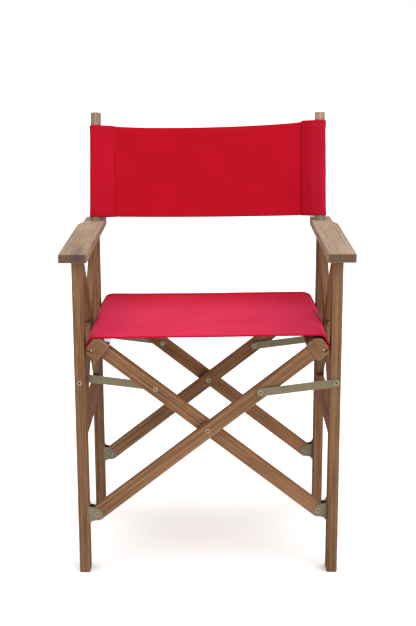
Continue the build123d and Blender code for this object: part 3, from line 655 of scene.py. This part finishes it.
def finish_metal():
    for number, side in enumerate(SIDES):
        plate = zinc(f"{side}_bracket_zinc", UPRIGHT, 0.3 + number, 0.9)
        strip = zinc(f"{side}_link_zinc", (1, 0, 0.12), 2.3 + number, 0.84)
        turned = zinc(f"{side}_rivet_zinc", BACKWARD, 4.3 + number, 1.25, 0.24)
        for end in ENDS:
            finish_node(f"{side}_{end}_bracket", plate)
            finish_node(f"{side}_{end}_link", strip)
            finish_node(f"{side}_{end}_link_rivet_end", turned)
        for part in TURNED_PARTS:
            finish_node(f"{side}_{part}", turned)
        finish_node(f"{side}_brace_screw", zinc(f"{side}_old_zinc", BACKWARD, 5.3 + number, 0.6, 0.5))
    centre = zinc("cross_zinc", BACKWARD, 7.3, 1.25, 0.24)
    finish_node("cross_rivets", centre)
    finish_node("cross_washers", centre)


def finish_rods():
    material = extruded_plastic("rod_pale")
    for side in SIDES:
        finish_node(f"{side}_seat_rod", material)


# ---- cloth colours ----
def seat_canvas():
    """Painted shade deepens the red towards the rear, and most on the front hem's edge."""
    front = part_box("seat_sling")[0].y
    # painted shade: the seat's rear and its front hem's edge are painted deeper
    painted_shade = [("Y", 0.03, 0.15, (0.74, 0.1, 0.2)),
               ("Y", front + 3.0 * MM, front + 0.5 * MM, (0.85, 0.15, 0.35))]
    return canvas("seat_red", rgb(148, 24, 50), rgb(182, 40, 70), 0.06, rgb(255, 120, 165), painted_shade=painted_shade)


def back_canvases():
    """The cloth of the back's middle, and of each sleeve: the left one's a lit copy of it and the right one's
    a shaded copy, painted deeper still beside its seam as shade.
    """
    sheen_tint = rgb(255, 90, 120)
    middle = canvas("back_red", rgb(137, 9, 22), rgb(165, 13, 31), 0.03, sheen_tint)
    sleeves = {
        # painted light: the left sleeve is a lighter copy of the back's red, the right a darker one
        "left": canvas("left_sleeve_red", rgb(140, 11, 26), rgb(167, 16, 37), 0.04, sheen_tint),
        "right": canvas("right_sleeve_red", rgb(136, 14, 30), rgb(161, 19, 39), 0.04, sheen_tint,
                        painted_shade=[("X", 0.025, 0.019, (0.9, 0.66, 0.72))]),
    }
    return middle, sleeves


# ---- seat cloth ----
def seat_profile():
    """Half of the seat cloth's line in X and Z, from the middle to round the right rod."""
    rail_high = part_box("right_seat_rail")[1]
    rod_low, rod_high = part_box("right_seat_rod")
    rod = (rod_low + rod_high) / 2
    wrap = (rod_high.x - rod_low.x) / 2 + 0.75 * CLOTH
    gap = 0.65 * MM + 0.9 * CLOTH
    top = rail_high.z + gap
    outside = rail_high.x + gap
    shoulder_x = rail_high.x - 9.8 * MM
    shoulder_z = rail_high.z - 13.3 * MM
    shoulder_radius = 9.0 * MM
    groove_z = rod.z + 0.9 * MM
    groove_radius = 1.2 * MM
    corners = [(0.0, top), (shoulder_x, top), (outside + 0.3 * MM, shoulder_z), (outside, groove_z),
               (rod.x, groove_z)]
    line = rounded_path(corners, [shoulder_radius, shoulder_radius, groove_radius], 6.0 * MM)
    # the line stops at the rod, and the wrap goes more than half way round it
    around = np.radians(np.arange(60.0, 300.0, 20.0))
    circle = np.stack([rod.x + wrap * np.cos(around), rod.z + wrap * np.sin(around)], axis=1)
    beside_rod = line[:, 0] > rod.x + wrap * 0.6
    above_rod = line[:, 1] > rod.z + 2 * MM
    return np.concatenate([line[beside_rod | above_rod], circle])


def seat_lift(x, y, z):
    """How far the seat cloth stands off its line, from the places of the line's points."""
    low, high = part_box("seat_sling")
    inner, outer = (corner.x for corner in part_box("right_seat_rail"))
    middle = (low.y + high.y) / 2
    reach = (high.y - low.y) / 2
    aside = np.abs(x)
    # both are 1 in the middle of the seat and 0 at its edge
    centre_x = np.clip(1 - (x / inner) ** 2, 0, 1)
    centre_y = np.clip(1 - ((y - middle) / reach) ** 2, 0, 1)
    # taut, and a little proud of the rails
    stand_off = 1.3 * MM - 1.6 * MM * centre_x * centre_y
    # the rear hem stands up, more at the right, and the front hem rises towards the right rail
    rightward = np.clip((x / inner + 1) / 2, 0, 1)
    rear = (2.4 + 4.4 * rightward + 1.6 * (1 - rightward) ** 6) * MM
    rear *= smooth(y, high.y - 130 * MM, high.y - 8 * MM)
    rear *= 1 - smooth(aside, outer - 22 * MM, outer)
    front = 4.4 * MM * rightward
    front *= 1 - smooth(y, low.y, low.y + 110 * MM)
    front *= 1 - smooth(aside, outer - 16 * MM, outer)
    # both edges turn down
    rear -= 1.6 * MM * smooth(y, high.y - 9 * MM, high.y)
    front -= 0.8 * MM * (1 - smooth(y, low.y, low.y + 7 * MM))
    # tension lines run in from the rails, and the middle ripples faintly
    near_rail = np.exp(-((aside - inner) / (34 * MM)) ** 2)
    lines = 0.35 * MM * np.sin(y * 96 + np.sin(y * 41) * 1.7) * near_rail * centre_y
    ripple = 0.35 * MM * np.sin(x * 31 + y * 9) * np.sin(y * 23 - x * 6) * centre_x
    over_rails = smooth(z, high.z - 15 * MM, high.z - 1 * MM)
    # the cloth bulges beside the rails
    flank = np.exp(-((z - (high.z - 17 * MM)) / (9 * MM)) ** 2) * (aside > inner)
    bulge = 1.6 * MM * flank * centre_y
    return (stand_off + rear + front + lines + ripple) * over_rails + bulge


def make_seat(cloth_red, thread_red):
    """One sheet from round the left rod to round the right one, with a stitched hem in front and behind."""
    half = seat_profile()
    whole = np.concatenate([half[:0:-1] * (-1, 1), half])
    length = run_lengths(whole)
    low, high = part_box("seat_sling")
    inner, outer = (corner.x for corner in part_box("right_seat_rail"))
    depth = across_positions(low.y, high.y)
    columns = len(depth)
    x, y = np.meshgrid(whole[:, 0], depth, indexing="ij")
    z = along_sheet(whole[:, 1], columns)
    up_x, up_z = (along_sheet(part, columns) for part in normals_of(whole).T)
    lift = seat_lift(x, y, z)
    surface = (np.stack([x + up_x * lift, y, z + up_z * lift], axis=-1),
               np.stack([up_x, np.zeros_like(x), up_z], axis=-1))
    # the cloth is pressed thin in the rail's groove and round the rod
    in_groove = (np.abs(x) < outer) & (z < high.z - SEAT_FLANK)
    thickness = np.where(in_groove, CLOTH * 0.8, hem_layers(depth, SEAT_HEM_EXTRA)[None, :])
    flat = np.stack(np.meshgrid(length, depth, indexing="ij"), axis=-1)
    seat = cloth_sheet("seat_cloth", surface, flat, cloth_red, thickness)
    on_seat = (np.abs(whole[:, 0]) < outer) & (whole[:, 1] > high.z - SEAT_FLANK)
    rows = []
    for end, place in (("front", low.y + HEM_STITCHING), ("rear", high.y - HEM_STITCHING)):
        run = (on_seat, nearest(depth, place))
        rows.append(stitches_on(f"seat_{end}_stitching", surface, thickness, run, thread_red))
    for piece in (seat, *rows):
        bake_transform(piece)
    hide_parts("seat_sling")


# ---- back cloth ----
def seam_place(side):
    """How far a sleeve's seam is from the middle."""
    low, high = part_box(f"{side}_back_sleeve")
    return min(abs(low.x), abs(high.x))


def back_axis(side):
    """The post's axis inside its sleeve: where the CAD sleeve starts and ends, and its outer radius."""
    low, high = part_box(f"{side}_back_sleeve")
    post_low, post_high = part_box(f"{side}_back_post")
    post_x = (post_low.x + post_high.x) / 2
    radius = max(abs(low.x), abs(high.x)) - abs(post_x)
    lean_y = radius * math.cos(POST_LEAN)
    lean_z = radius * math.sin(POST_LEAN)
    start = Vector((post_x, low.y + lean_y, low.z + lean_z))
    stop = Vector((post_x, high.y - lean_y, high.z - lean_z))
    return start, stop, radius


def back_point(x, forward, up_post, start):
    """A point of the back: across, in front of the posts' plane, and up along them."""
    return np.stack([x, start.y + up_post * UP_POST.y + forward * AHEAD.y,
                     start.z + up_post * UP_POST.z + forward * AHEAD.z], axis=-1)


def back_edges(x, seam):
    """Bottom and top edge of the back cloth along the posts, over its width, from the CAD sleeve's start."""
    start, stop, _ = back_axis("right")
    full = (stop - start).length
    rightward = (x / seam + 1) / 2
    slack = np.clip(1 - (x / seam) ** 2, 0, 1)
    top = full - 10.0 * MM + 9.0 * MM * rightward - 7.5 * MM * slack ** 0.7
    bottom = -0.2 * MM + 2.6 * MM * rightward - 1.9 * MM * slack
    return bottom, top


def sleeve_line(side):
    """A sleeve's section, across and in front of the posts' plane, drawn for the right-hand side.

    It runs from the seam in front, round the post and back to the seam behind.
    """
    start, _, radius = back_axis(side)
    seam = seam_place(side)
    post = abs(start.x)
    middle = radius - CLOTH / 2
    touch = math.pi / 2 + math.asin(middle / (post - seam))
    set_back = RIGHT_SET_BACK if side == "right" else 0.0
    # the two layers leave room between them for the back's middle
    ahead = 0.8 * MM + 0.4 * set_back
    behind = -1.7 * MM - 0.85 * set_back
    corners = [(seam - SEAM_ALLOWANCE, ahead)]
    corners += [(post + middle * math.cos(a), middle * math.sin(a)) for a in np.linspace(touch, -touch, 40)]
    corners += [(seam, behind), (seam - SEAM_ALLOWANCE, behind + 0.2 * MM)]
    corners = np.array(corners)
    line = [corners[0]]
    for a, b in zip(corners, corners[1:]):
        count = max(1, math.ceil(np.linalg.norm(b - a) / (2.5 * MM)))
        line += [a + (b - a) * (k + 1) / count for k in range(count)]
    return np.array(line)


def make_sleeve(side, cloth_red, thread_red):
    """A sleeve round its post, with a row of stitches along the seam and one along each hem."""
    start = back_axis(side)[0]
    sign = SIDES[side]
    seam = seam_place(side)
    line = sleeve_line(side)
    length = run_lengths(line)
    bottom, top = back_edges(sign * seam, seam)
    positions = across_positions(bottom - SLEEVE_DROP, top + SLEEVE_RISE[side])
    columns = len(positions)
    s, v = np.meshgrid(length, positions, indexing="ij")
    # faint creases round the post, and a flare at both hems; both die out towards the seams
    round_post = np.exp(-((s - length[-1] * 0.45) / (length[-1] * 0.16)) ** 2)
    creases = 0.225 * MM * np.sin(v * 75 + s * 40 + sign) * np.sin(v * 31 + 2 * sign)
    flare = 0.5 * MM * (np.exp(-(v - positions[0]) / (7 * MM)) + np.exp(-(positions[-1] - v) / (7 * MM)))
    out = (creases + flare) * round_post
    out_x, out_ahead = (along_sheet(part, columns) for part in normals_of(line).T)
    x = sign * (along_sheet(line[:, 0], columns) + out_x * out)
    forward = along_sheet(line[:, 1], columns) + out_ahead * out
    surface = (back_point(x, forward, v, start),
               np.stack([sign * out_x, out_ahead * AHEAD.y, out_ahead * AHEAD.z], axis=-1))
    pressed = 0.35 + 0.65 * smooth(length, 0.0, 4 * MM)  # flat at the seam in front
    thickness = pressed[:, None] * hem_layers(positions)[None, :]
    sleeve = cloth_sheet(f"{side}_sleeve_cloth", surface, np.stack([s, v], axis=-1), cloth_red, thickness)
    in_front = line[:8, 0]  # the front seam is among the line's first points
    rows = [stitches_on(f"{side}_seam_stitching", surface, thickness, nearest(in_front, seam), thread_red)]
    visible = length < length[-1] * 0.93
    for end, place in (("bottom", positions[0] + HEM_STITCHING), ("top", positions[-1] - HEM_STITCHING)):
        run = (visible, nearest(positions, place))
        rows.append(stitches_on(f"{side}_{end}_hem_stitching", surface, thickness, run, thread_red))
    for piece in (sleeve, *rows):
        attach(piece, f"{side}_frame")
    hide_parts(f"{side}_back_sleeve")


def back_relief(x, v, share, seam):
    """How far the back's middle stands ahead of the posts' plane; share runs from its bottom to its top."""
    slack = np.clip(1 - (x / seam) ** 2, 0, 1)
    belly = -1.8 * MM * slack * np.sin(share * math.pi)
    ripple = 0.35 * MM * slack * np.sin(x * 26 + v * 11) * np.sin(v * 33 - x * 7)
    # creases run in from the seams, fainter on the right
    drag = 0.45 * MM * np.sin(v * 60 + np.abs(x) * 18) * np.exp(-(seam - np.abs(x)) / (45 * MM))
    drag *= 1 - 0.6 * (x > 0)
    # the bottom edge curls ahead and the top edge back
    curl = 0.8 * MM * slack * (np.exp(-share * 28) - np.exp(-(1 - share) * 28))
    set_back = -RIGHT_SET_BACK * smooth(x, seam - 95 * MM, seam - 45 * MM)
    return belly + ripple + drag + curl + set_back


def make_back_panel(cloth_red, thread_red):
    """The back's middle, one sheet between the sleeves with its edges tucked into them."""
    start = back_axis("left")[0]
    seam = seam_place("left")
    xs = evenly(-seam - TUCK_LEFT, seam + TUCK_RIGHT, 6.0 * MM)
    bottom, top = back_edges(np.clip(xs, -seam, seam), seam)
    # places between the bottom and the top, closer together at the hems
    near_hem = 0.09
    low_hem = evenly(0, near_hem, 0.012)
    between = evenly(near_hem, 1 - near_hem, 0.035)
    top_hem = evenly(1 - near_hem, 1, 0.012)
    shares = np.concatenate([low_hem, between[1:], top_hem[1:]])
    x, share = np.meshgrid(xs, shares, indexing="ij")
    v = bottom[:, None] + (top - bottom)[:, None] * share
    points = back_point(x, back_relief(x, v, share, seam), v, start)
    normals = np.broadcast_to(np.array(AHEAD), points.shape)
    from_edge = np.minimum(v - bottom[:, None], top[:, None] - v)
    double = 1 - smooth(from_edge, HEM - HEM_STEP, HEM)
    in_sleeve = smooth(x, seam - 2 * MM, seam + 2 * MM)
    thickness = CLOTH * (1 + HEM_EXTRA * double) * (1 - 0.4 * in_sleeve)
    panel = cloth_sheet("back_cloth", (points, normals), np.stack([x, v], axis=-1), cloth_red, thickness)
    shown = np.abs(xs) < seam - 2 * MM
    rows = []
    for end, row_at in (("bottom", bottom + HEM_STITCHING), ("top", top - HEM_STITCHING)):
        line = []
        for k in np.flatnonzero(shown):
            front = points[k] + normals[k] * thickness[k, :, None] / 2
            line.append([np.interp(row_at[k], v[k], front[:, axis]) for axis in range(3)])
        rows.append(stitch_row(f"back_{end}_hem_stitching", np.array(line), normals[shown, 0], thread_red))
    for piece in (panel, *rows):
        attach(piece, "left_frame")
        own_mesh(piece)
    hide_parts("back_panel")


# ---- care label ----
def make_label():
    """A blank folded label that hangs from the seat's front hem beside the left rail."""
    low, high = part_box("care_label")
    height = high.z - low.z
    material = canvas("label_cloth", rgb(176, 190, 214), rgb(228, 234, 244), 0.15, (1, 1, 1), 0.45 * MM,
                      0.00004)
    across = evenly(low.x + 1.0 * MM, high.x - 4.0 * MM, 2.0 * MM)
    down = evenly(0.0, height, 1.5 * MM)
    x, drop = np.meshgrid(across, down, indexing="ij")
    share = (x - low.x) / (high.x - low.x)
    curl = 1.6 * MM * np.sin(share * 2.2) * drop / height
    y = low.y + 0.5 * MM + curl + 0.8 * MM * share
    # the label hangs askew, lower on its right
    z = high.z - drop * (0.62 + 0.3 * np.clip(share, 0, 1))
    points = np.stack([x + 0.25 * drop, y, z], axis=-1)
    normals = np.broadcast_to(np.array((0.0, -1.0, 0.0)), points.shape)
    thickness = np.full(x.shape, 0.35 * MM)
    flat = np.stack([x, drop], axis=-1)
    label = cloth_sheet("care_label_cloth", (points, normals), flat, material, thickness)
    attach(label, "left_cross")
    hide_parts("care_label")


# ---- the chair ----
place_camera()
studio()
finish_wood()
finish_metal()
finish_rods()
back_red, sleeve_reds = back_canvases()
stitch_red = thread("stitch_red", rgb(134, 4, 18), rgb(184, 20, 40))
make_seat(seat_canvas(), stitch_red)
for side_name in SIDES:
    make_sleeve(side_name, sleeve_reds[side_name], stitch_red)
make_back_panel(back_red, stitch_red)
make_label()
